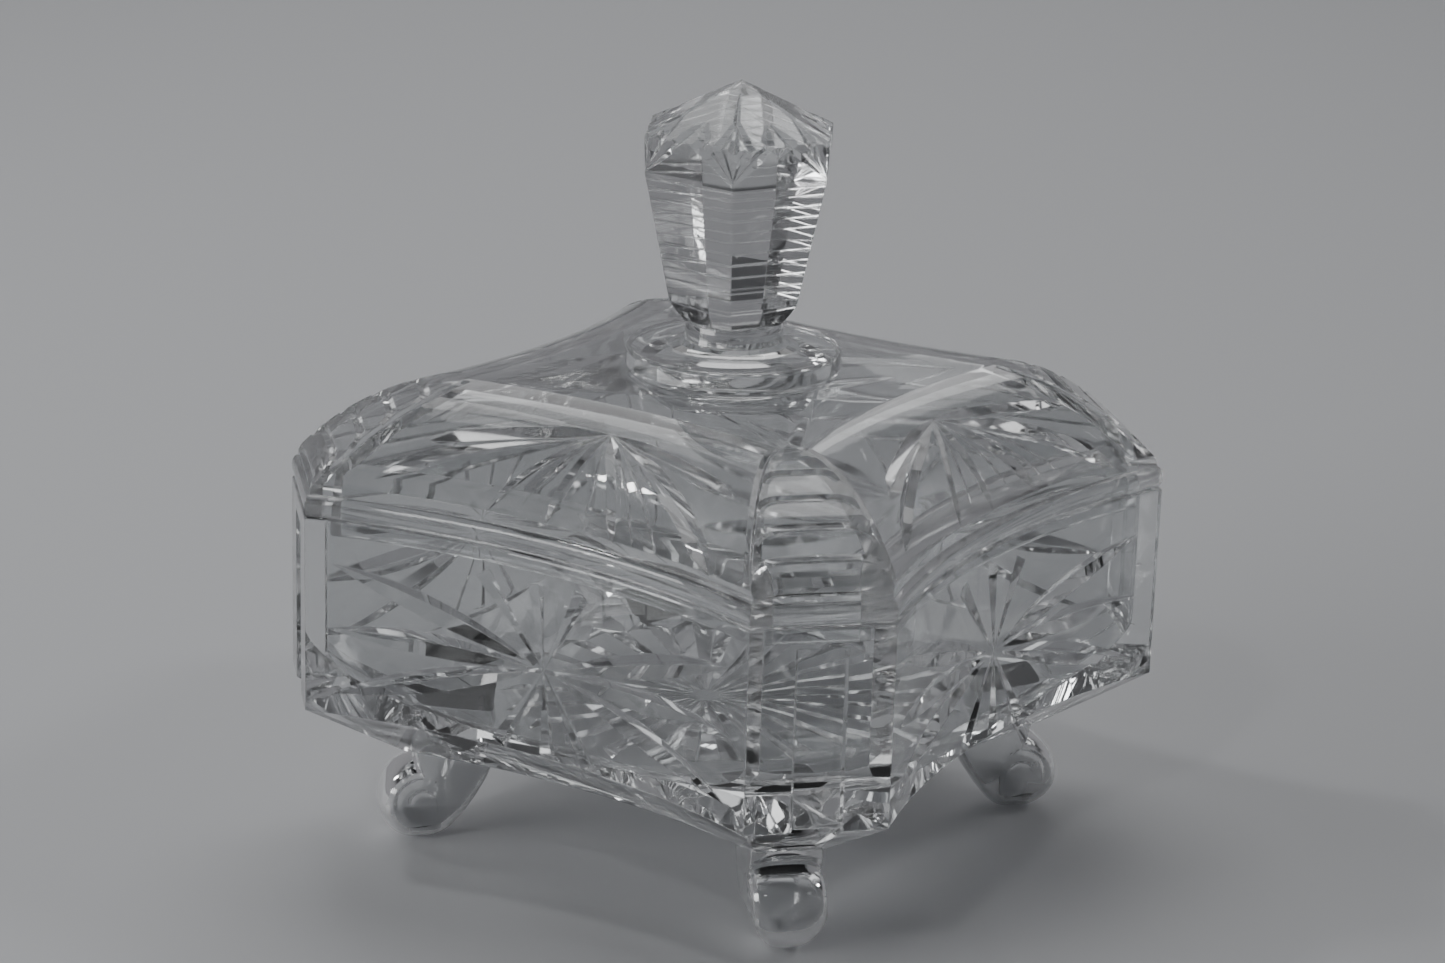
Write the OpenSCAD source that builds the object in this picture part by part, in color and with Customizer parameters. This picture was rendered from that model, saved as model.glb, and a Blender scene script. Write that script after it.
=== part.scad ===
// Covered powder jar in cut crystal: a square bowl with hollowed sides and cut corners on four
// scroll feet, and a domed lid with a disc and a six-sided knob.
// Each side of the bowl and the lid is hollowed by the same upright cylinder, far outside the jar.

/* [Plan of the jar] */
// Distance from the jar's axis to each cut corner
corner_reach = 82.5; // [70:0.5:95]
// Width of each cut corner
corner_width = 26; // [18:0.5:32]
// Depth of the hollow in the middle of each side
side_bow = 8; // [4:0.5:10]
// Thickness of the glass walls
wall = 5.3; // [4:0.1:6.5]

/* [Bowl] */
// Height of the bowl's underside above the table, which the feet fill
foot_height = 19.5; // [17:0.5:24]
// Height of the bevel between the underside and the walls
bevel_height = 11.9; // [9:0.1:14]
// Width of that bevel in the middle of a side
bevel_run = 15.4; // [12:0.1:18]
// Width of that bevel at a corner
bevel_corner_run = 19.5; // [16:0.1:22]
// Height of the upright walls
wall_height = 37.9; // [30:0.1:46]
// Thickness of the glass under the middle of the bowl
floor_thickness = 9.7; // [8:0.1:12]
// Height of the round dish, from its floor up to where only the walls stand
dish_height = 12.2; // [10:0.1:14]
// Diameter of the dish's flat floor
dish_floor = 66; // [50:1:70]

/* [Lid] */
// Height of the lid's upright rim
band_height = 4.2; // [3:0.1:6]
// Height of the dome above the rim
dome_height = 18.3; // [14:0.1:22]
// Width of the dome's slope in the middle of a side
dome_run = 25.6; // [22:0.1:28]
// Width of the dome's slope at a corner
dome_corner_run = 31.2; // [28:0.1:34]
// Play between the lid's locating lip and the bowl
lip_play = 0.7; // [0.4:0.1:1.2]
// Thickness of the locating lip
lip_wall = 2.6; // [2:0.1:3.5]
// Depth of the locating lip
lip_depth = 4.5; // [3:0.1:6]
// Diameter of the thick glass under the middle of the lid
hub_diameter = 31; // [26:0.5:36]
// Thickness of the glass there
hub_thickness = 9.8; // [7:0.1:12]

/* [Disc and knob] */
// Diameter of the disc under the knob
disc_diameter = 41; // [36:0.5:44]
// Thickness of the disc
disc_height = 5; // [4:0.1:7]
// Diameter of the knob's neck
neck_diameter = 18.9; // [16:0.1:21]
// Height of the neck
neck_height = 5.2; // [4:0.1:8]
// Width across the flats at the knob's foot
knob_foot_width = 23.9; // [21:0.1:26]
// Width across the flats at the knob's shoulder
knob_width = 33.6; // [30:0.1:38]
// Height of the tapered part of the knob
knob_height = 24.6; // [22:0.1:28]
// Height of the plain band above it
knob_band = 7.2; // [5:0.1:9]
// Height of the knob's pointed top
knob_point = 9.3; // [7:0.1:12]
// Number of steps in each of the knob's two stepped groups
knob_steps = 5; // [3:1:6]

/* [Feet] */
// Distance from the jar's axis to the middle of each foot's scroll
foot_reach = 59.5; // [56:0.5:62]
// Diameter of the scroll
scroll_diameter = 16; // [14:0.5:17]
// Width of a foot
foot_width = 13.5; // [10:0.5:14]
// Diameter of the round eye in the middle of the scroll
scroll_eye = 5; // [3:0.5:8]
// Depth of the groove around the eye
scroll_groove = 1; // [0.4:0.1:2]
// Height of the flat sole cut off the scroll
sole = 0.4; // [0.3:0.1:0.8]

/* [Movement] */
// How far the lid is raised off its seat
lid_lift = 0; // [0:1:70]

/* [Hidden] */
$fn = 96;
glass = [0.88, 0.90, 0.92, 0.5];

base_z = foot_height + bevel_height;
seat_z = base_z + wall_height;
seat_gap = 0.1;
lid_z = seat_z + seat_gap;
dome_z = lid_z + band_height;
plateau_z = dome_z + dome_height;
neck_z = plateau_z + disc_height;
floor_z = foot_height + floor_thickness;
walls_start_z = floor_z + dish_height;
// Glass that a tool or a neighbour runs past, so that no two faces just touch
past = 1;

// A side's hollow is an arc that ends at the cut corners.
function arc_radius(half_chord, bow) = (half_chord ^ 2 + bow ^ 2) / (2 * bow);
half_side = (corner_reach - corner_width / 2) / sqrt(2);
side_reach = (corner_reach + corner_width / 2) / sqrt(2);
hollow_radius = arc_radius(half_side, side_bow);
hollow_reach = side_reach + hollow_radius - side_bow;
side_middle = hollow_reach - hollow_radius;
wide = 4 * side_reach;

// Bulge of the dome's two sections above the straight line from the rim to the flat top.
side_bulge = 4;
corner_bulge = 3.2;

// The knob flares out from its neck, and its steps fill two parts of the taper's height.
knob_flare = 4.4;
flare_inset = 0.6;
band_flare = 0.3;
lower_steps = [0.06, 0.48];
upper_steps = [0.65, 0.96];
step_height = 0.8;
step_depth = 0.3;

// Outline of a foot's leg, from the middle of its scroll
leg_front = 3.5;
leg_back = 15;
leg_bend = [2, 6.5];
leg_brow = [5, 3];
leg_heel = [-7, -2.5];
leg_root = -4;
eye_offset = 1;
eye_groove_width = 1.2;

// Everything that is the same on all four sides or corners
module four_sides() {
    for (turn = [0 : 90 : 270]) rotate(turn) children();
}

module four_corners() {
    for (turn = [45 : 90 : 315]) rotate(turn) children();
}

// Outline of the jar, moved in by inset
module plan(inset = 0) {
    difference() {
        intersection() {
            square(2 * side_reach, center = true);
            rotate(45) square(2 * (corner_reach - inset), center = true);
        }
        four_sides() translate([0, hollow_reach]) circle(hollow_radius + inset, $fn = 180);
    }
}

// Upright wall with the jar's outline
module prism(height, inset = 0) {
    linear_extrude(height) plan(inset);
}

// The glass below the walls, bevelled in to the underside
module bevelled_base() {
    corner_slope = atan2(bevel_height, bevel_corner_run);
    difference() {
        prism(bevel_height);
        four_sides()
            translate([0, hollow_reach, 0])
                cylinder(h = bevel_height, r1 = hollow_radius + bevel_run, r2 = hollow_radius, $fn = 180);
        four_corners()
            translate([corner_reach, 0, bevel_height])
                rotate([0, -corner_slope, 0])
                    translate([-wide / 2, -wide / 2, -wide])
                        cube([wide, wide, wide]);
    }
}

// Two-dimensional space outside a convex section that climbs from [0, 0] to [run, rise]
module outside_section(run, rise, bulge, inset, reach) {
    chord = norm([run, rise]);
    radius = arc_radius(chord / 2, bulge);
    inward = [rise, -run] / chord;
    centre = [run, rise] / 2 + inward * (radius - bulge);
    difference() {
        translate([-reach, -band_height]) square([reach + run, rise + band_height + past]);
        translate(centre) circle(radius - inset, $fn = 180);
        translate([inset, -band_height]) square([run, band_height - past]);
    }
}

// The dome, with its flat top, moved in by inset
module dome(inset = 0) {
    difference() {
        translate([0, 0, -band_height]) prism(dome_height + band_height - inset, inset);
        four_sides()
            translate([0, hollow_reach, 0])
                rotate_extrude($fn = 180)
                    intersection() {
                        translate([hollow_radius, 0])
                            outside_section(dome_run, dome_height, side_bulge, inset, hollow_radius);
                        translate([0, -wide]) square([wide * 2, wide * 2]);
                    }
        four_corners()
            translate([corner_reach, wide / 2, 0])
                rotate([90, 0, 0])
                    linear_extrude(wide)
                        mirror([1, 0])
                            outside_section(dome_corner_run, dome_height, corner_bulge, inset, wide / 4);
    }
}

module bowl() {
    color(glass)
        difference() {
            union() {
                translate([0, 0, foot_height]) bevelled_base();
                translate([0, 0, base_z]) prism(wall_height);
            }
            translate([0, 0, walls_start_z]) prism(seat_z - walls_start_z + past, wall);
            intersection() {
                translate([0, 0, floor_z]) prism(seat_z - floor_z, wall);
                dish();
            }
        }
}

// Round hollow in the thick glass, from the flat floor up to the walls
module dish() {
    mouth = 2 * (corner_reach - wall);
    translate([0, 0, floor_z])
        cylinder(h = walls_start_z - floor_z, d1 = dish_floor, d2 = mouth);
}

// Foot that stands along +X: a leg that ends in a round scroll
module scroll_foot() {
    scroll_z = scroll_diameter / 2 - sole;
    color(glass)
        difference() {
            rotate([90, 0, 0]) {
                translate([foot_reach, scroll_z, 0])
                    cylinder(h = foot_width, d = scroll_diameter, center = true);
                linear_extrude(foot_width, center = true)
                    polygon([
                        [foot_reach - leg_back, foot_height], [foot_reach + leg_front, foot_height],
                        [foot_reach, scroll_z] + leg_brow, [foot_reach, scroll_z + leg_root],
                        [foot_reach, scroll_z] + leg_heel,
                        [foot_reach - leg_back + leg_bend[0], foot_height - leg_bend[1]]
                    ]);
            }
            translate([0, -foot_width, -foot_height]) cube([corner_reach, 2 * foot_width, foot_height]);
            for (side = [-1, 1])
                translate([foot_reach + eye_offset, side * foot_width / 2, scroll_z + eye_offset])
                    rotate([90, 0, 0]) scroll_eye_ring();
        }
}

// Ring cut into a foot's side around the scroll's eye
module scroll_eye_ring() {
    difference() {
        cylinder(h = 2 * scroll_groove, d = scroll_eye + 2 * eye_groove_width, center = true);
        cylinder(h = 3 * scroll_groove, d = scroll_eye, center = true);
    }
}

module foot_front_left() { rotate(225) scroll_foot(); }
module foot_front_right() { rotate(315) scroll_foot(); }
module foot_back_right() { rotate(45) scroll_foot(); }
module foot_back_left() { rotate(135) scroll_foot(); }

module lid() {
    lip_inset = wall + lip_play;
    cavity_inset = lip_inset + lip_wall;
    below = band_height + lip_depth;
    color(glass)
        translate([0, 0, dome_z])
            difference() {
                union() {
                    dome();
                    translate([0, 0, -below]) prism(lip_depth + past, lip_inset);
                }
                translate([0, 0, -below - past]) prism(lip_depth + 2 * past, cavity_inset);
                difference() {
                    intersection() {
                        dome(wall);
                        translate([0, 0, -band_height]) prism(dome_height + band_height, cavity_inset);
                    }
                    translate([0, 0, dome_height - hub_thickness])
                        cylinder(h = hub_thickness, d = hub_diameter);
                }
            }
}

module disc() {
    chamfer = 0.8;
    radius = disc_diameter / 2;
    color(glass)
        translate([0, 0, plateau_z])
            rotate_extrude()
                polygon([[0, 0], [radius, 0], [radius, disc_height - chamfer],
                    [radius - chamfer, disc_height], [0, disc_height]]);
}

// Half of the knob's width across its flats at this height on the taper
function knob_half_width(height) =
    (knob_foot_width + (knob_width - knob_foot_width) * height / knob_height) / 2;

// V steps cut across the taper, as [half width, height] points
function step_points(span) = [
    for (step = [0 : knob_steps - 1], side = [-1, 0, 1])
        let (height = span[0] + (span[1] - span[0]) * step / (knob_steps - 1) + side * step_height / 2)
            [knob_half_width(height) - (side == 0 ? step_depth : 0), height]
];

module knob() {
    shoulder = knob_height + knob_band;
    section = concat(
        [[0, -knob_flare], [neck_diameter / 2 - flare_inset, -knob_flare], [knob_half_width(0), 0]],
        step_points(lower_steps * knob_height),
        step_points(upper_steps * knob_height),
        [[knob_half_width(knob_height), knob_height], [knob_width / 2 + band_flare, shoulder],
            [0, shoulder + knob_point]]);
    color(glass)
        translate([0, 0, neck_z]) {
            cylinder(h = neck_height + past, d = neck_diameter);
            translate([0, 0, neck_height + knob_flare])
                rotate_extrude($fn = 6)
                    polygon([for (point = section) [point[0] / cos(30), point[1]]]);
        }
}

bowl();
foot_front_left();
foot_front_right();
foot_back_right();
foot_back_left();
translate([0, 0, lid_lift]) lid();
translate([0, 0, lid_lift]) disc();
translate([0, 0, lid_lift]) knob();
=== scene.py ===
"""Looks of the cut-crystal powder jar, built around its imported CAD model.

The jar's own lengths are millimetres. The camera, floor and lamps are placed in metres.
"""
import bmesh
import bpy
import math
import numpy as np
from mathutils import Matrix, Vector


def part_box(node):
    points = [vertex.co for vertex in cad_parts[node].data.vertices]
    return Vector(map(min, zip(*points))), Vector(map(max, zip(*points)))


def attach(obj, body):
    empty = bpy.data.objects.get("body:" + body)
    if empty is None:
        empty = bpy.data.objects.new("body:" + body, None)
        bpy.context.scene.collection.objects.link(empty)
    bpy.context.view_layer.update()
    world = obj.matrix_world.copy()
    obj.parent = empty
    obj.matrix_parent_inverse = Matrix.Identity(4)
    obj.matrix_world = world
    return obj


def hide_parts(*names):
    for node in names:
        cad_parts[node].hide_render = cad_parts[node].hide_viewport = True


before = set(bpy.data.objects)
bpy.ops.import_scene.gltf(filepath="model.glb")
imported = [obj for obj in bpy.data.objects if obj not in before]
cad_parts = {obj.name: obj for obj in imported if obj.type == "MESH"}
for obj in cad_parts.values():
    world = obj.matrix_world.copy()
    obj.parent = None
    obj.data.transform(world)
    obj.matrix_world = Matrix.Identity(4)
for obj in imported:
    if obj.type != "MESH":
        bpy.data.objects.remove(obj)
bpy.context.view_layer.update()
MM = 0.001


def node_box(name):
    """Lowest and highest corner of a CAD node, in millimetres."""
    low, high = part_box(name)
    return np.array(low) / MM, np.array(high) / MM


# ---------------------------------------------------------------- plan of the jar, as in the CAD
CORNER_REACH = 82.5
CORNER_WIDTH = 26.0
SIDE_BOW = 8.0
WALL = 5.3
ROOT2 = math.sqrt(2)
HALF_SIDE = (CORNER_REACH - CORNER_WIDTH / 2) / ROOT2
SIDE_REACH = (CORNER_REACH + CORNER_WIDTH / 2) / ROOT2
HOLLOW_RADIUS = (HALF_SIDE ** 2 + SIDE_BOW ** 2) / (2 * SIDE_BOW)
HOLLOW_REACH = SIDE_REACH + HOLLOW_RADIUS - SIDE_BOW

BEVEL_HEIGHT = 11.9
SEAT_GAP = 0.1
BAND = 4.2
FOOT_TOP = node_box("bowl")[0][2]
SEAT_Z = node_box("bowl")[1][2]
BASE_Z = FOOT_TOP + BEVEL_HEIGHT
LID_Z = SEAT_Z + SEAT_GAP
DOME_Z = LID_Z + BAND
PLATEAU_Z = node_box("lid")[1][2]
DOME_HEIGHT = PLATEAU_Z - DOME_Z
NECK_Z = node_box("disc")[1][2]
TOP_Z = node_box("knob")[1][2]


class Arc:
    """Section of the dome from [0, 0] to [run, rise], bulging above its chord."""

    def __init__(self, run, rise, bulge):
        chord = math.hypot(run, rise)
        self.radius = ((chord / 2) ** 2 + bulge ** 2) / (2 * bulge)
        reach = self.radius - bulge
        self.x = run / 2 + rise / chord * reach
        self.z = rise / 2 - run / chord * reach

    def height(self, inset):
        return self.z + math.sqrt(max(self.radius ** 2 - (inset - self.x) ** 2, 0))

    def inset(self, height, inward=0):
        return self.x - math.sqrt(max((self.radius - inward) ** 2 - (height - self.z) ** 2, 0))

    def normal(self, inset):
        return (inset - self.x) / self.radius, (self.height(inset) - self.z) / self.radius


SIDE_ARC = Arc(25.6, DOME_HEIGHT, 4.0)
CORNER_ARC = Arc(31.2, DOME_HEIGHT, 3.2)
SIDE_STEPS = 72
CORNER_STEPS = 8


def corner_half_width(side_inset, corner_inset):
    """Half the width of a cut corner where the outline is moved in by these insets."""
    radius = HOLLOW_RADIUS + side_inset
    reach = CORNER_REACH - corner_inset
    b = ROOT2 * HOLLOW_REACH
    c = reach ** 2 - b * reach + HOLLOW_REACH ** 2 - radius ** 2
    return (b - math.sqrt(b * b - 4 * c)) / 2


def outline(side_inset, corner_inset):
    """The jar's outline, from the middle of the right-hand side's arc, anticlockwise."""
    width = corner_half_width(side_inset, corner_inset)
    reach = CORNER_REACH - corner_inset
    radius = HOLLOW_RADIUS + side_inset
    end = math.asin((reach - width) / ROOT2 / radius)
    points = []
    for turn in range(4):
        quarter = []
        for step in range(SIDE_STEPS + 1):
            phi = end * (2 * step / SIDE_STEPS - 1)
            quarter.append((HOLLOW_REACH - radius * math.cos(phi), radius * math.sin(phi)))
        for step in range(1, CORNER_STEPS):
            across = width * (2 * step / CORNER_STEPS - 1)
            quarter.append(((reach - across) / ROOT2, (reach + across) / ROOT2))
        for x, y in quarter:
            for _ in range(turn):
                x, y = -y, x
            points.append((x, y))
    return points


def new_object(name, verts, faces, scale=MM):
    """A mesh object from points in millimetres, or in metres with a scale of 1."""
    mesh = bpy.data.meshes.new(name)
    mesh.from_pydata([tuple(scale * c for c in v) for v in verts], [], faces)
    mesh.validate()
    obj = bpy.data.objects.new(name, mesh)
    bpy.context.scene.collection.objects.link(obj)
    return obj


def loft(name, levels):
    """A closed solid through outlines at (z, side inset, corner inset), from the bottom up."""
    verts, faces = [], []
    for z, side, corner in levels:
        verts += [(x, y, z) for x, y in outline(side, corner)]
    count = len(verts) // len(levels)
    for ring in range(len(levels) - 1):
        a, b = ring * count, (ring + 1) * count
        for i in range(count):
            j = (i + 1) % count
            faces.append((a + i, a + j, b + j, b + i))
    faces.append(tuple(reversed(range(count))))
    faces.append(tuple(range(len(verts) - count, len(verts))))
    return new_object(name, verts, faces)


def revolve(name, profile, steps):
    """A closed solid turned about the jar's axis from (radius, z) points, from the bottom up."""
    verts, faces = [], []
    for radius, z in profile:
        for i in range(steps):
            a = 2 * math.pi * i / steps
            verts.append((radius * math.cos(a), radius * math.sin(a), z))
    for ring in range(len(profile) - 1):
        a, b = ring * steps, (ring + 1) * steps
        for i in range(steps):
            j = (i + 1) % steps
            faces.append((a + i, a + j, b + j, b + i))
    faces.append(tuple(reversed(range(steps))))
    faces.append(tuple(range(len(verts) - steps, len(verts))))
    return new_object(name, verts, faces)


def unit(v):
    v = np.asarray(v, float)
    return v / np.linalg.norm(v)


WHEEL_ANGLE = math.radians(60)
LEAST_WIDTH = 0.02
LEAST_RISE = 0.25


def groove(name, path, widths, edge=WHEEL_ANGLE, above=1.2, flat=0.0):
    """A cutter that leaves a V groove of these widths along (point, normal) pairs on a surface.

    edge is the angle between a side of the V and its middle plane, and above is the most that
    the cutter stands over the surface. flat, where it isn't 0, is the part of the V's depth that
    is cut, and the groove has a flat bottom.
    """
    verts, faces = [], []
    points = [np.asarray(p, float) for p, _ in path]
    for i, (point, normal) in enumerate(path):
        tangent = unit(points[min(i + 1, len(points) - 1)] - points[max(i - 1, 0)])
        normal = unit(np.asarray(normal, float) - np.dot(normal, tangent) * tangent)
        across = np.cross(tangent, normal)
        half = max(widths[i], LEAST_WIDTH) / 2
        depth = half / math.tan(edge)
        rise = min(above, max(depth * 2.5, LEAST_RISE))
        top = half * (depth + rise) / depth
        middle = points[i]
        if flat:
            verts += [middle - normal * depth * flat - across * half * (1 - flat),
                      middle - normal * depth * flat + across * half * (1 - flat)]
        else:
            verts += [middle - normal * depth]
        verts += [middle + normal * rise + across * top, middle + normal * rise - across * top]
    n = 4 if flat else 3
    for i in range(len(path) - 1):
        a, b = i * n, (i + 1) * n
        for k in range(n):
            m = (k + 1) % n
            faces.append((a + k, a + m, b + m, b + k))
    faces.append(tuple(reversed(range(n))))
    last = (len(path) - 1) * n
    faces.append(tuple(range(last, last + n)))
    obj = new_object(name, verts, faces)
    # The faces look outward, whichever way the path runs.
    volume = sum(obj.data.vertices[p.vertices[0]].co.dot(p.normal) * p.area
                 for p in obj.data.polygons)
    if volume < 0:
        obj.data.flip_normals()
    return obj


def turned(point, turn):
    """The point after this many quarter turns about the jar's axis."""
    x, y, z = point
    for _ in range(turn):
        x, y = -y, x
    return np.array([x, y, z])


def wall_point(turn, t, z):
    """A point and outward normal on the front side (turn 0) or the next ones, t along it."""
    phi = t / HOLLOW_RADIUS
    point = (HOLLOW_RADIUS * math.sin(phi), -HOLLOW_REACH + HOLLOW_RADIUS * math.cos(phi), z)
    normal = (-math.sin(phi), -math.cos(phi), 0)
    return turned(point, turn), turned(normal, turn)


def dome_point(turn, t, inset):
    """A point and outward normal on the lid's front panel or the next ones."""
    phi = t / HOLLOW_RADIUS
    radius = HOLLOW_RADIUS + inset
    point = (radius * math.sin(phi), -HOLLOW_REACH + radius * math.cos(phi),
             DOME_Z + SIDE_ARC.height(inset))
    inward, up = SIDE_ARC.normal(inset)
    normal = (inward * math.sin(phi), inward * math.cos(phi), up)
    return turned(point, turn), turned(normal, turn)


def between(place, turn, start, end, count=28):
    """(point, normal) pairs on a surface, in a straight line between two of its coordinates."""
    return [place(turn, start[0] + (end[0] - start[0]) * i / count,
                  start[1] + (end[1] - start[1]) * i / count) for i in range(count + 1)]


def leaf_widths(width, count=28):
    """Widest in the middle, and pointed at both ends."""
    return [width * max(1 - (2 * i / count - 1) ** 2, 0) for i in range(count + 1)]


def blunt_widths(width, count=28):
    """The full width over most of the length, and narrowed at both ends."""
    return [width * min(1, 4 * i / count + 0.05, 6 * (count - i) / count + 0.1)
            for i in range(count + 1)]


def wedge_widths(width, count):
    """Pointed at the start, and widest at the end."""
    return [width * (i / count) for i in range(count + 1)]


def cut(target, cutters):
    """Takes the cutters off the target, one after another, and deletes them."""
    for cutter in cutters:
        modifier = target.modifiers.new("cut", "BOOLEAN")
        modifier.operation = "DIFFERENCE"
        modifier.solver = "MANIFOLD"
        modifier.object = cutter
    apply_modifiers(target)
    for cutter in cutters:
        bpy.data.objects.remove(cutter)


def combine(target, others, operation):
    """Joins the others to the target, or keeps what they share with it, and deletes them."""
    for other in others:
        modifier = target.modifiers.new("combine", "BOOLEAN")
        modifier.operation = operation
        modifier.solver = "MANIFOLD"
        modifier.object = other
    apply_modifiers(target)
    for other in others:
        bpy.data.objects.remove(other)


def apply_modifiers(obj):
    graph = bpy.context.evaluated_depsgraph_get()
    mesh = bpy.data.meshes.new_from_object(obj.evaluated_get(graph))
    obj.modifiers.clear()
    old = obj.data
    obj.data = mesh
    bpy.data.meshes.remove(old)


def drop_slivers(obj, least=60):
    """Deletes the loose chips that cuts leave behind."""
    shape = bmesh.new()
    shape.from_mesh(obj.data)
    left = set(shape.verts)
    chips = []
    while left:
        island, edge = set(), {next(iter(left))}
        while edge:
            island |= edge
            edge = {e.other_vert(v) for v in edge for e in v.link_edges} - island
        left -= island
        if len(island) < least:
            chips += island
    bmesh.ops.delete(shape, geom=chips, context="VERTS")
    shape.to_mesh(obj.data)
    shape.free()


def smooth(obj, angle):
    """Smooth shading, except at edges sharper than this angle in degrees."""
    obj.data.shade_smooth()
    obj.data.set_sharp_from_angle(angle=math.radians(angle))


# ---------------------------------------------------------------- camera, floor and light
# The camera as fitted to the photo: its place in metres, its angles, and its lens in millimetres.
CAMERA = Vector((0.3731, -0.5718, 0.2873))
PITCH, YAW, ROLL = math.radians(17.707), math.radians(0.11), math.radians(1.72)
FOCAL_LENGTH, SENSOR_WIDTH = 93.13, 36

FLOOR_REACH = 7.0
FLOOR_Z = -0.0003
LOOK_AT = (0, 0, 0.08)
# Light takes many turns inside thick cut glass before it finds a way out.
BOUNCES = 48


def add_camera():
    data = bpy.data.cameras.new("camera")
    data.lens = FOCAL_LENGTH
    data.sensor_width = SENSOR_WIDTH
    camera = bpy.data.objects.new("camera", data)
    ahead = Vector((-CAMERA.x, -CAMERA.y, 0)).normalized()
    ahead = Matrix.Rotation(YAW, 3, "Z") @ ahead
    forward = ahead * math.cos(PITCH) - Vector((0, 0, math.sin(PITCH)))
    level = forward.cross(Vector((0, 0, 1))).normalized()
    above = level.cross(forward)
    right = level * math.cos(ROLL) + above * math.sin(ROLL)
    up = above * math.cos(ROLL) - level * math.sin(ROLL)
    camera.matrix_world = Matrix((
        (right.x, up.x, -forward.x, CAMERA.x),
        (right.y, up.y, -forward.y, CAMERA.y),
        (right.z, up.z, -forward.z, CAMERA.z),
        (0, 0, 0, 1)))
    bpy.context.scene.collection.objects.link(camera)
    bpy.context.scene.camera = camera


def area_light(name, place, aim, size, power):
    data = bpy.data.lights.new(name, "AREA")
    data.shape = "RECTANGLE"
    data.size, data.size_y = size
    data.energy = power
    lamp = bpy.data.objects.new(name, data)
    lamp.visible_camera = False
    lamp.location = place
    lamp.rotation_euler = (Vector(aim) - Vector(place)).to_track_quat("-Z", "Y").to_euler()
    bpy.context.scene.collection.objects.link(lamp)


def add_floor():
    """A plain pale floor, wide enough for every view."""
    corners = [(x * FLOOR_REACH, y * FLOOR_REACH, FLOOR_Z)
               for x, y in ((-1, -1), (1, -1), (1, 1), (-1, 1))]
    floor = new_object("floor", corners, [(0, 1, 2, 3)], 1)
    material = bpy.data.materials.new("pale_floor")
    material.use_nodes = True
    shader = material.node_tree.nodes["Principled BSDF"]
    shader.inputs["Base Color"].default_value = (0.61, 0.62, 0.64, 1)
    shader.inputs["Roughness"].default_value = 0.6
    floor.data.materials.append(material)


def color_ramp(nodes, *stops):
    """A ramp of greys, faintly blue, through (position, brightness) stops."""
    ramp = nodes.new("ShaderNodeValToRGB")
    elements = ramp.color_ramp.elements
    while len(elements) < len(stops):
        elements.new(0.5)
    for element, (position, grey) in zip(elements, stops):
        element.position = position
        element.color = (grey, grey, min(grey * 1.05, 1), 1)
    return ramp


def add_lights():
    """A soft studio, dark overhead and behind the camera, and lamps that make the glass glint."""
    world = bpy.data.worlds.new("studio")
    bpy.context.scene.world = world
    world.use_nodes = True
    nodes, links = world.node_tree.nodes, world.node_tree.links
    background = nodes["Background"]
    coordinates = nodes.new("ShaderNodeTexCoord")
    split = nodes.new("ShaderNodeSeparateXYZ")
    height = color_ramp(nodes, (0.0, 0.24), (0.2, 0.25), (0.42, 0.22), (0.56, 0.04), (1.0, 0.02))
    facing = nodes.new("ShaderNodeVectorMath")
    facing.operation = "DOT_PRODUCT"
    facing.inputs[1].default_value = (CAMERA.x, CAMERA.y, 0.1)
    front = color_ramp(nodes, (0.0, 1.0), (0.36, 1.0), (0.56, 0.10), (1.0, 0.06))
    shade = nodes.new("ShaderNodeMix")
    shade.data_type = "RGBA"
    shade.blend_type = "MULTIPLY"
    shade.inputs["Factor"].default_value = 1
    links.new(coordinates.outputs["Generated"], split.inputs[0])
    links.new(split.outputs["Z"], height.inputs[0])
    links.new(coordinates.outputs["Generated"], facing.inputs[0])
    links.new(facing.outputs["Value"], front.inputs[0])
    links.new(height.outputs[0], shade.inputs["A"])
    links.new(front.outputs[0], shade.inputs["B"])
    links.new(shade.outputs["Result"], background.inputs[0])
    area_light("overhead_lamp", (-0.25, 0.40, 1.25), LOOK_AT, (0.9, 0.6), 3.5)
    area_light("back_lamp", (-0.75, 1.05, 0.95), (-0.65, 0.95, 0), (1.0, 0.8), 3.3)
    area_light("right_lamp", (0.7, 0.55, 0.85), LOOK_AT, (0.15, 0.15), 1.2)
    area_light("left_lamp", (-0.95, -0.1, 0.55), LOOK_AT, (0.12, 0.2), 0.8)
    area_light("front_lamp", (-0.55, -0.2, 0.8), LOOK_AT, (0.06, 0.06), 0.7)
    area_light("low_lamp", (-0.675, -1.05, 0.38), (0, 0, 0.07), (0.9, 0.26), 6.5)
    area_light("near_lamp", (0.15, -0.75, 0.75), LOOK_AT, (0.05, 0.05), 0.5)
    cycles = bpy.context.scene.cycles
    cycles.max_bounces = BOUNCES
    cycles.transmission_bounces = BOUNCES
    cycles.glossy_bounces = BOUNCES


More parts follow.
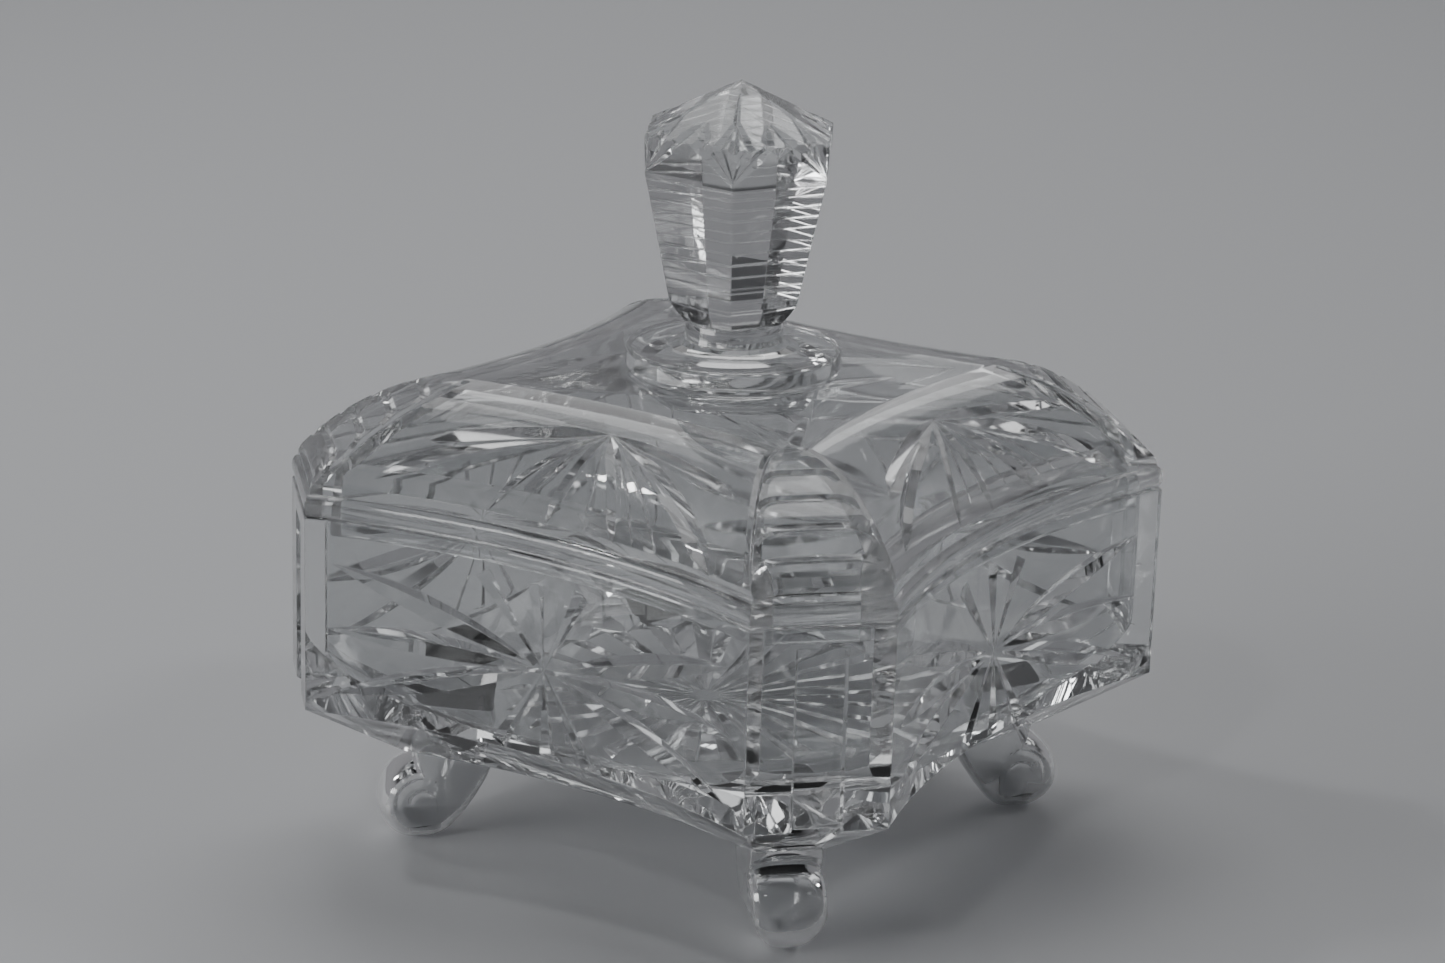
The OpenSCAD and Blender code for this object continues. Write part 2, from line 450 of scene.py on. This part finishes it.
# ---------------------------------------------------------------- crystal
def crystal(name):
    """Clear lead crystal: faint waves from polishing, a little haze, slightly rounded edges, and a
    grey tint that is painted shade.
    """
    material = bpy.data.materials.new(name)
    material.use_nodes = True
    nodes, links = material.node_tree.nodes, material.node_tree.links
    shader = nodes["Principled BSDF"]
    # The grey base colour is painted shade: it darkens the glass the way the dark room seen in it
    # would.
    shader.inputs["Base Color"].default_value = (0.80, 0.81, 0.815, 1)
    shader.inputs["Transmission Weight"].default_value = 0.98
    shader.inputs["IOR"].default_value = 1.54
    place = nodes.new("ShaderNodeTexCoord")
    noise = nodes.new("ShaderNodeTexNoise")
    noise.inputs["Scale"].default_value = 45
    noise.inputs["Detail"].default_value = 3
    span = nodes.new("ShaderNodeMapRange")
    span.inputs["From Min"].default_value = 0.45
    span.inputs["From Max"].default_value = 0.8
    span.inputs["To Min"].default_value = 0.0
    span.inputs["To Max"].default_value = 0.035
    waves = nodes.new("ShaderNodeTexNoise")
    waves.inputs["Scale"].default_value = 90
    waves.inputs["Detail"].default_value = 1
    bump = nodes.new("ShaderNodeBump")
    bump.inputs["Strength"].default_value = 0.02
    bump.inputs["Distance"].default_value = 0.001
    links.new(place.outputs["Object"], noise.inputs["Vector"])
    links.new(noise.outputs["Fac"], span.inputs["Value"])
    links.new(span.outputs["Result"], shader.inputs["Roughness"])
    links.new(place.outputs["Object"], waves.inputs["Vector"])
    links.new(waves.outputs["Fac"], bump.inputs["Height"])
    edges = nodes.new("ShaderNodeBevel")
    edges.samples = 3
    edges.inputs["Radius"].default_value = 0.00035
    links.new(edges.outputs["Normal"], bump.inputs["Normal"])
    links.new(bump.outputs["Normal"], shader.inputs["Normal"])
    return material


def finish_piece(obj, material, body, slot_name, *nodes, angle):
    """Shades a piece, hangs it on the empty of the body that moves it, and hides the CAD nodes it
    stands for.
    """
    drop_slivers(obj)
    smooth(obj, angle)
    obj.data.materials.clear()
    obj.data.materials.append(material)
    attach(obj, body)
    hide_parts(*nodes)


# ---------------------------------------------------------------- bowl
STAR_Z = BASE_Z + 16.9
LEAF_SPREAD = math.radians(16)
LEAF_START, LEAF_END, MIDDLE_LEAF_END = 3, 46.5, 45.5
LEAF_WIDTH = 4.7
RAY_DEGREES = (63, 97, 130, -57, -86, -121)
RAY_START, RAY_RISE = -1.0, 16.2
RAY_WIDTH, RAY_STEPS = 3.4, 12

# The middle of a corner's flute, from the top down, as (inset, z, downward part of the normal).
FLUTE = ((0, SEAT_Z - 3.8, 0), (0, BASE_Z + 1.5, 0), (0, BASE_Z, 0.6),
         (2.4, BASE_Z - 1.5, 1.5), (18.0, BASE_Z - 11.0, 1.64))
FLUTE_WIDTH, FLUTE_ANGLE, FLUTE_FLAT = 9.4, math.radians(30), 0.1

BASE_RAYS = 24
BASE_RAY_START, BASE_RAY_REACH = 3, 43.0

RIM_EDGE = 0.45
DISH_FLAT, DISH_FLOOR = 20, 28.9
DISH_RUN, DISH_RISE, DISH_STEPS = 58, 14.5, 24


def star_cutters():
    """Six leaves and six rays on each side of the bowl, around the star's middle."""
    def place(distance, angle):
        return distance * math.cos(angle), STAR_Z + distance * math.sin(angle)

    cutters = []
    for turn in range(4):
        for spread in (-1, 0, 1):
            for half_turn in (0, math.pi):
                angle = spread * LEAF_SPREAD + half_turn
                length = MIDDLE_LEAF_END if spread == 0 else LEAF_END
                path = between(wall_point, turn, place(LEAF_START, angle), place(length, angle))
                cutters.append(groove("leaf", path, leaf_widths(LEAF_WIDTH)))
        for degrees in RAY_DEGREES:
            angle = math.radians(degrees)
            length = RAY_RISE / abs(math.sin(angle))
            path = between(wall_point, turn, place(RAY_START, angle), place(length, angle),
                           RAY_STEPS)
            cutters.append(groove("ray", path, wedge_widths(RAY_WIDTH, RAY_STEPS)))
    return cutters


def corner_directions():
    """The outward and sideways directions of the four cut corners."""
    for turn in range(4):
        angle = math.radians(45 + 90 * turn)
        yield (np.array([math.cos(angle), math.sin(angle), 0]),
               np.array([-math.sin(angle), math.cos(angle), 0]))


def flute_cutters():
    """A shallow upright flute down the middle of each cut corner and the bevel below it."""
    cutters = []
    for out, _ in corner_directions():
        path = [((CORNER_REACH - inset) * out + np.array([0, 0, z]), out - np.array([0, 0, lean]))
                for inset, z, lean in FLUTE]
        cutters.append(groove("flute", path, [FLUTE_WIDTH] * len(FLUTE), FLUTE_ANGLE,
                              flat=FLUTE_FLAT, above=2))
    return cutters


def base_star_cutters():
    """The star of rays under the base."""
    cutters = []
    for k in range(BASE_RAYS):
        angle = 2 * math.pi * (k + 0.5) / BASE_RAYS
        path, widths = [], []
        for r in np.linspace(BASE_RAY_START, BASE_RAY_REACH, 17):
            path.append(((r * math.cos(angle), r * math.sin(angle), FOOT_TOP), (0, 0, -1)))
            widths.append(min(0.25 * r, 2.0 * (BASE_RAY_REACH - r) + 0.3))
        cutters.append(groove("base_ray", path, widths))
    return cutters


def build_bowl(material):
    """The bowl with its four feet, as one closed mesh of glass."""
    bowl = loft("bowl_crystal", [
        (FOOT_TOP, 15.4, 19.5), (BASE_Z, 0, 0), (BASE_Z + 12, 0, 0), (BASE_Z + 24, 0, 0),
        (SEAT_Z - RIM_EDGE, 0, 0), (SEAT_Z - 0.15, 0.13, 0.13), (SEAT_Z, RIM_EDGE, RIM_EDGE)])
    hollow = loft("hollow", [(26, WALL, WALL), (BASE_Z + 6, WALL, WALL), (SEAT_Z + 2, WALL, WALL)])
    profile = [(0.5, 28.8), (DISH_FLAT, DISH_FLOOR)]
    for i in range(1, DISH_STEPS + 1):
        a = math.radians(90 * i / DISH_STEPS)
        profile.append((DISH_FLAT + DISH_RUN * math.sin(a),
                        DISH_FLOOR + DISH_RISE * (1 - math.cos(a))))
    profile += [(90, 52), (110, SEAT_Z + 3)]
    combine(hollow, [revolve("dish", profile, 192)], "INTERSECT")
    cut(bowl, [hollow])
    # The feet are joined one by one, before the small cuts. Joined later, they leave loose faces.
    for angle in (45, 135, 225, 315):
        combine(bowl, [foot(angle)], "UNION")
    cut(bowl, star_cutters() + flute_cutters() + base_star_cutters())
    finish_piece(bowl, material, "bowl", "bowl_glass", "bowl", "foot_front_left",
                 "foot_front_right", "foot_back_right", "foot_back_left", angle=14)


# ---------------------------------------------------------------- lid
BEAD, BEAD_STEPS = 1.1, 24
DOME_STEPS, CEILING_STEPS = 26, 22
LIP_INSET, CAVITY_INSET = 6.0, 8.6

# On a panel of the lid: the fan's apex and the ends of its leaves and lines, as (along the panel,
# inset from the rim). A leaf's third number is its width.
FAN_APEX = (2.0, 16.5)
FAN_LEAVES = ((-1.0, 0.8, 2.3), (14.5, 0.8, 3.0), (38.0, 0.8, 4.0), (-14.0, 0.8, 1.7),
              (-29.0, 8.5, 4.4), (-37.0, 2.5, 3.4), (33.0, 11.0, 3.4))
FAN_LINES = ((7.0, 1.6), (19.0, 0.9), (24.6, 0.9), (-7.0, 2.2))
FAN_LINE_WIDTH = 0.9

# The grooves across a corner rib, as (inset from the rim, width), and those along its edges.
RIB_GROOVES = ((1.6, 1.6), (6.0, 1.8), (11.2, 1.9), (17.0, 2.0), (23.4, 2.0))
RIB_GROOVE_STEPS = 24
RIB_EDGE_LOW, RIB_EDGE_HIGH = 1.6, 24.6
RIB_EDGE_WIDTH, RIB_EDGE_STEPS = 1.7, 32

DISC_RADIUS, DISC_EDGE, DISC_EDGE_Z = 20.5, 0.9, PLATEAU_Z + 3.9


def fan_cutters():
    """The fan on each panel of the lid, and the grooves where the panel meets the corner ribs."""
    cutters = []
    for turn in range(4):
        for t, inset, width in FAN_LEAVES:
            path = between(dome_point, turn, FAN_APEX, (t, inset))
            cutters.append(groove("fan_leaf", path, blunt_widths(width)))
        for t, inset in FAN_LINES:
            start = (FAN_APEX[0] + 0.2 * (t - FAN_APEX[0]), 0.8 * FAN_APEX[1])
            path = between(dome_point, turn, start, (t, inset))
            cutters.append(groove("fan_line", path, leaf_widths(FAN_LINE_WIDTH)))
        for way in (-1, 1):
            path = []
            for i in range(RIB_EDGE_STEPS + 1):
                inset = RIB_EDGE_LOW + (RIB_EDGE_HIGH - RIB_EDGE_LOW) * i / RIB_EDGE_STEPS
                corner_inset = CORNER_ARC.inset(SIDE_ARC.height(inset))
                width = corner_half_width(inset, corner_inset)
                reach = CORNER_REACH - corner_inset
                phi = math.asin((reach - width) / ROOT2 / (HOLLOW_RADIUS + inset))
                path.append(dome_point(turn, way * (phi * HOLLOW_RADIUS - 0.9), inset))
            cutters.append(groove("rib_edge", path, [RIB_EDGE_WIDTH] * len(path)))
    return cutters


def rib_cutters():
    """The grooves that make the steps of the corner ribs. Their ends bend down towards the rim."""
    cutters = []
    for out, side in corner_directions():
        for inset, width in RIB_GROOVES:
            half = corner_half_width(SIDE_ARC.inset(CORNER_ARC.height(inset)), inset) + 0.6
            path = []
            for i in range(RIB_GROOVE_STEPS + 1):
                v = 2 * i / RIB_GROOVE_STEPS - 1
                here = max(inset - 2.4 * v ** 6, 0.0)
                inward, up = CORNER_ARC.normal(here)
                point = (CORNER_REACH - here) * out + side * half * v
                point[2] = DOME_Z + CORNER_ARC.height(here)
                path.append((point, -inward * out + np.array([0, 0, up])))
            cutters.append(groove("step", path, [width] * len(path)))
    return cutters


def build_lid(material):
    """The lid with its lip, disc and knob, as one closed mesh of glass."""
    levels = []
    for i in range(BEAD_STEPS + 1):
        a = math.radians(-90 + 180 * i / BEAD_STEPS)
        inset = BEAD * (1 - math.cos(a))
        levels.append((LID_Z + BAND / 2 * (1 + math.sin(a)), inset, inset))
    for i in range(1, DOME_STEPS + 1):
        height = DOME_HEIGHT * math.sin(math.pi / 2 * i / DOME_STEPS)
        levels.append((DOME_Z + height, max(SIDE_ARC.inset(height), BEAD + 0.1),
                       max(CORNER_ARC.inset(height), BEAD + 0.1)))
    lid = loft("lid_crystal", levels)
    lip = loft("lip", [(LID_Z - 4.5, 6.4, 6.4), (LID_Z - 4.1, LIP_INSET, LIP_INSET),
                       (LID_Z + 1, LIP_INSET, LIP_INSET)])
    combine(lid, [lip], "UNION")
    levels = [(z, CAVITY_INSET, CAVITY_INSET) for z in (LID_Z - 6, DOME_Z - 1)]
    for i in range(1, CEILING_STEPS + 1):
        height = (DOME_HEIGHT - WALL) * math.sin(math.pi / 2 * i / CEILING_STEPS)
        levels.append((DOME_Z + height, max(SIDE_ARC.inset(height, WALL), CAVITY_INSET),
                       max(CORNER_ARC.inset(height, WALL), CAVITY_INSET)))
    cavity = loft("cavity", levels)
    hub = revolve("hub", [(12.5, DOME_Z + 8.4), (14.5, DOME_Z + 8.8), (15.5, DOME_Z + 9.9),
                          (15.6, DOME_Z + 11), (16.6, DOME_Z + 12.4), (19, DOME_Z + 16)], 96)
    cut(cavity, [hub])
    cut(lid, [cavity])
    cut(lid, rib_cutters() + fan_cutters())
    combine(lid, [disc(), knob()], "UNION")
    finish_piece(lid, material, "lid", "lid_glass", "lid", "disc", "knob", angle=12)


def disc():
    """The round plate between the lid and the knob. Its lower part is sunk into the lid."""
    z = PLATEAU_Z
    profile = [(15, z - 0.6), (18.9, z - 0.6), (19.1, z), (19.9, z + 0.2), (20.35, z + 0.7),
               (DISC_RADIUS, z + 1.3), (DISC_RADIUS, DISC_EDGE_Z)]
    for i in range(1, 7):
        a = math.radians(90 * i / 6)
        profile.append((DISC_RADIUS - DISC_EDGE + DISC_EDGE * math.cos(a),
                        DISC_EDGE_Z + DISC_EDGE * math.sin(a)))
    profile.append((14.5, NECK_Z))
    return revolve("disc", profile, 128)


# ---------------------------------------------------------------- knob
KNOB_BASE = NECK_Z + 5.2
FOOT_HALF, TOP_HALF = 11.95, 16.8
CONE_BASE = KNOB_BASE + 4.4
CONE_TOP = CONE_BASE + 24.6
SHOULDER = CONE_TOP + 7.2
CAP_HEIGHT = TOP_Z - SHOULDER
HALF_SECTOR = math.pi / 6
KNOB_GROOVES = [CONE_BASE + h for h in (1.4, 4.6, 6.9, 9.5, 11.7)]
KNOB_GROOVES += [CONE_TOP - h for h in (8.6, 6.5, 4.4, 2.3, 0.75)]
KNOB_GROOVE_HALF, KNOB_GROOVE_DEPTH = 0.15, 0.06

# The cuts over the cap's shoulder: how far the cut is from the edge, how far up the cap it goes
# and its width, and then the share of that width that the cut has at each of its points.
CAP_CUTS = ((3.2, 0.62, 2.4), (7.0, 0.34, 2.8))
CAP_CUT_SHARES = (0.15, 0.45, 0.7, 0.9, 1.0, 0.95, 0.75, 0.45, 0.1)
CAP_BAND = TOP_HALF + 0.2
CAP_REACH = CAP_BAND / math.cos(HALF_SECTOR)
EDGE_CUT_WIDTH, EDGE_CUT_BEND = 2.2, 0.4


def upward(z):
    return np.array([0, 0, z])


def knob_half(z):
    """Half the knob's width over its flat sides, at this height on the cone."""
    return FOOT_HALF + (TOP_HALF - FOOT_HALF) * (z - CONE_BASE) / (CONE_TOP - CONE_BASE)


def edge_cut(edge):
    """The cut down an edge of the knob's head: over the band, and from there up the cap."""
    path, widths = [], []
    for f in np.linspace(0, 1, 9):
        widths.append(EDGE_CUT_WIDTH * math.sin(math.pi * (0.08 + 0.84 * f)))
        if f < EDGE_CUT_BEND:
            z = CONE_TOP + 0.3 + (SHOULDER - CONE_TOP - 0.3) * f / EDGE_CUT_BEND
            path.append((edge * CAP_REACH + upward(z), edge))
        else:
            g = (f - EDGE_CUT_BEND) / (1 - EDGE_CUT_BEND) * 0.8
            point = edge * (CAP_REACH * (1 - g)) + upward(SHOULDER + CAP_HEIGHT * g)
            path.append((point, edge * 0.45 + upward(0.9)))
    return groove("ridge", path, widths)


def cap_cuts(edge, face, along):
    """The cuts from the foot of an edge, across this face's band and up its part of the cap."""
    cutters = []
    slope = unit(face * CAP_HEIGHT + upward(CAP_BAND))
    for lateral, climb, width in CAP_CUTS:
        start = edge * (CAP_REACH - 0.25) + upward(CONE_TOP + 0.8)
        bend = edge * CAP_REACH + along * lateral + upward(SHOULDER)
        bend = bend - face * (np.dot(bend, face) - CAP_BAND - 0.1)
        end = bend + along * lateral * 0.35
        end = end - face * CAP_BAND * climb + upward(CAP_HEIGHT * climb)
        path = [(start + (bend - start) * f, face) for f in (0, 0.25, 0.5, 0.75)]
        path += [(bend, face + slope)]
        path += [(bend + (end - bend) * f, slope) for f in (0.25, 0.5, 0.75, 1)]
        cutters.append(groove("fan", path, [width * share for share in CAP_CUT_SHARES]))
    return cutters


def knob():
    """The six-sided knob on its round neck."""
    levels = [(KNOB_BASE - 0.2, 8.2), (KNOB_BASE, 8.7), (KNOB_BASE + 1.2, 9.8),
              (KNOB_BASE + 2.6, 10.8), (CONE_BASE, FOOT_HALF)]
    for z in KNOB_GROOVES:
        below, above = z - KNOB_GROOVE_HALF, z + KNOB_GROOVE_HALF
        levels += [(below, knob_half(below)), (z, knob_half(z) - KNOB_GROOVE_DEPTH),
                   (above, knob_half(above))]
    levels += [(CONE_TOP + 0.1, TOP_HALF + 0.02), (SHOULDER, TOP_HALF + 0.3), (TOP_Z, 0.05)]
    head = revolve("knob", [(half / math.cos(HALF_SECTOR), z) for z, half in levels], 6)
    cutters = []
    for k in range(6):
        angle = math.radians(60 * k)
        edge = np.array([math.cos(angle), math.sin(angle), 0])
        cutters.append(edge_cut(edge))
        for way in (-1, 1):
            middle = angle + way * HALF_SECTOR
            face = np.array([math.cos(middle), math.sin(middle), 0])
            along = np.array([-math.sin(angle), math.cos(angle), 0]) * way
            cutters += cap_cuts(edge, face, unit(along - np.dot(along, face) * face))
    cut(head, cutters)
    neck = revolve("neck", [(12.6, NECK_Z - 0.6), (12.4, NECK_Z), (10.6, NECK_Z + 0.5),
                            (9.7, NECK_Z + 1.3), (9.3, NECK_Z + 2.4), (9.3, NECK_Z + 3.6),
                            (9.0, NECK_Z + 4.6), (8.0, KNOB_BASE + 0.4)], 96)
    combine(head, [neck], "UNION")
    return head


# ---------------------------------------------------------------- feet
FOOT_REACH = 59.5
SCROLL_RADIUS = 8.0
SCROLL_Z = 7.6
FOOT_RINGS = 13
FOOT_CENTRE = np.array([58.0, 9.5])
SCROLL_STEPS = 40
SCROLL_WIDTH = 2.2


def foot_outline():
    """The foot's outline seen from its side, as (distance from the jar's axis, z) points."""
    def scroll_point(degrees):
        a = math.radians(degrees)
        return (FOOT_REACH + SCROLL_RADIUS * math.cos(a),
                max(SCROLL_Z + SCROLL_RADIUS * math.sin(a), 0))

    points = [(44.6, FOOT_TOP), (45.2, 16.5), (46.4, 13.2), (48.3, 9.6), (50.6, 6.0), (52.6, 3.4)]
    points += [scroll_point(212 + (390 - 212) * i / 26) for i in range(27)]
    points += [scroll_point(30 + (88 - 30) * i / 9) for i in range(1, 10)]
    points += [(59.9, 16.4), (61.0, 17.8), (61.8, FOOT_TOP)]
    return points


def foot_half_width(z):
    """Half the foot's width at this height: narrow at the sole, and full from 7 mm up."""
    return 6.9 - 2.9 * (1 - min(z / 7.0, 1)) ** 1.6 - 0.2 * max(z - 12, 0) / 8


def foot(angle):
    """A scroll foot that looks outward at this angle. Its top is sunk into the bowl."""
    points = foot_outline()
    verts, faces = [], []
    count = len(points)
    for ring in range(FOOT_RINGS):
        v = math.sin(math.radians(-90 + 180 * ring / (FOOT_RINGS - 1)))
        shrink = 2.6 * (1 - math.sqrt(max(1 - abs(v) ** 3.2, 0)))
        for x, z in points:
            away = np.array([x, z]) - FOOT_CENTRE
            x2, z2 = np.array([x, z]) - away / np.linalg.norm(away) * shrink
            if z > FOOT_TOP - 0.01:
                z2 = FOOT_TOP + 0.8
            verts.append((x2, v * foot_half_width(z), max(z2, 0)))
    for ring in range(FOOT_RINGS - 1):
        a, b = ring * count, (ring + 1) * count
        for i in range(count):
            j = (i + 1) % count
            faces.append((a + i, a + j, b + j, b + i))
    faces.append(tuple(reversed(range(count))))
    faces.append(tuple(range(len(verts) - count, len(verts))))
    scroll = new_object("foot", verts, faces)
    grooves = []
    for way in (-1, 1):
        path, widths = [], []
        for i in range(SCROLL_STEPS + 1):
            a = math.radians(150 - 560 * i / SCROLL_STEPS)
            r = 5.6 - 4.2 * i / SCROLL_STEPS
            x, z = FOOT_REACH + 0.4 + r * math.cos(a), SCROLL_Z + 0.6 + r * math.sin(a)
            path.append(((x, way * foot_half_width(z), z), (0, way, 0)))
            widths.append(SCROLL_WIDTH * min(1, 8 * i / SCROLL_STEPS,
                                             8 * (SCROLL_STEPS - i) / SCROLL_STEPS + 0.2))
        grooves.append(groove("scroll", path, widths))
    cut(scroll, grooves)
    scroll.data.transform(Matrix.Rotation(math.radians(angle), 4, "Z"))
    return scroll


add_camera()
add_floor()
add_lights()
bowl_glass = crystal("bowl_crystal_glass")
lid_glass = crystal("lid_crystal_glass")
build_bowl(bowl_glass)
build_lid(lid_glass)
